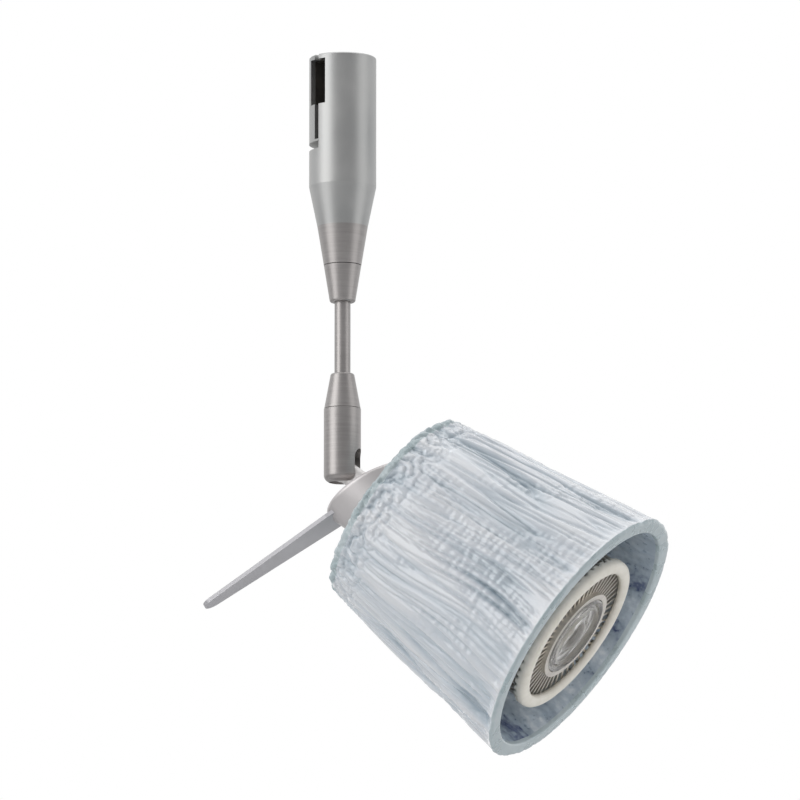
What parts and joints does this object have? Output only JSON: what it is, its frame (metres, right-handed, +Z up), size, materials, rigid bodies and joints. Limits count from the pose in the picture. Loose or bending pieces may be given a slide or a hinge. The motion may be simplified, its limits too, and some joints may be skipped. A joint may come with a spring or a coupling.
{
  "type": "track spotlight",
  "caption": "Low-voltage rail spotlight: drum clamp, thin swivel stem, ball knuckle, satin cap with a flat aiming handle, and a thick ribbed glass shade round a finned reflector lamp.",
  "frame": {"origin": "centre of the rail window, on the stem's axis", "axes": "+X along the rail, +Z up along the stem, +Y towards the loose jaw"},
  "size_m": [0.0998, 0.1205, 0.2015],
  "materials": {
    "satin_alloy": "fine satin",
    "brushed_nickel": "brushed round the axis",
    "cast_nickel": "fine cast, satin",
    "handle_satin": "satin sheet",
    "steel": "plain",
    "contact_brass": "plain",
    "dark_insulator": "matt dark",
    "lead_sleeve": "soft sleeve",
    "silicone": "translucent silicone",
    "ring_nickel": "satin",
    "ice_glass": "clear, deeply ribbed outside, frosted inside",
    "socket_ceramic": "unglazed",
    "heat_sink_alloy": "dark metallic",
    "lamp_ivory": "moulded",
    "lamp_clear": "clear moulded lens",
    "board": "white board",
    "pin_metal": "bright"
  },
  "bodies": {
    "connector": {"connector_body": "satin_alloy", "guide_pins": "steel", "rail_liner": "dark_insulator", "rail_contacts": "contact_brass", "connector_leads": "lead_sleeve", "coupling_cone": "brushed_nickel", "stop_pin": "steel"},
    "jaw": {"rail_jaw": "satin_alloy", "jaw_liner": "dark_insulator"},
    "clamp_screw": {"jaw_screw": "steel"},
    "stem": {"flange_nut": "steel", "thrust_washer": "contact_brass", "stem_collar": "brushed_nickel", "stem_tube": "brushed_nickel", "stem_leads": "lead_sleeve", "lock_cone": "brushed_nickel", "swivel_housing": "brushed_nickel", "tension_plug": "steel", "disc_springs": "steel", "friction_cup": "dark_insulator"},
    "head": {"knuckle": "cast_nickel", "knuckle_nut": "steel", "head_cap": "satin_alloy", "aiming_handle": "handle_satin", "handle_pins": "steel", "outer_gasket": "silicone", "inner_gasket": "silicone", "retaining_ring": "ring_nickel", "glass_shade": "ice_glass", "lamp_socket": "socket_ceramic", "socket_contacts": "contact_brass", "socket_screws": "steel", "socket_leads": "lead_sleeve"},
    "lamp": {"lamp_heat_sink": "heat_sink_alloy", "lamp_bezel": "lamp_ivory", "lamp_lens": "lamp_clear", "lamp_led_board": "board", "lamp_driver_housing": "lamp_ivory", "lamp_pins": "pin_metal"}
  },
  "joints": [
    {"name": "screw_turn", "type": "hinge", "parent": "jaw", "child": "clamp_screw", "pos_m": [0, 0, -0.012], "axis": [0, 1, 0], "range_deg": [0, 2572]},
    {"name": "jaw_slide", "type": "slide", "parent": "connector", "child": "jaw", "axis": [0, 1, 0], "range_m": [0, 0.005]},
    {"name": "stem_swivel", "type": "hinge", "parent": "connector", "child": "stem", "pos_m": [0, 0, -0.052], "axis": [0, 0, 1], "range_deg": [-165, 165]},
    {"name": "head_tilt", "type": "hinge", "parent": "stem", "child": "head", "pos_m": [0, 0, -0.1106], "axis": [0.8192, 0.5736, 0], "range_deg": [-36.5, 53.5]},
    {"name": "lamp_pull", "type": "slide", "parent": "head", "child": "lamp", "axis": [0.4611, -0.6585, -0.5948], "range_m": [0, 0.062]}
  ],
  "couplings": [
    {"joint": "screw_turn", "follows": "jaw_slide", "rad_per_m": 8976}
  ]
}
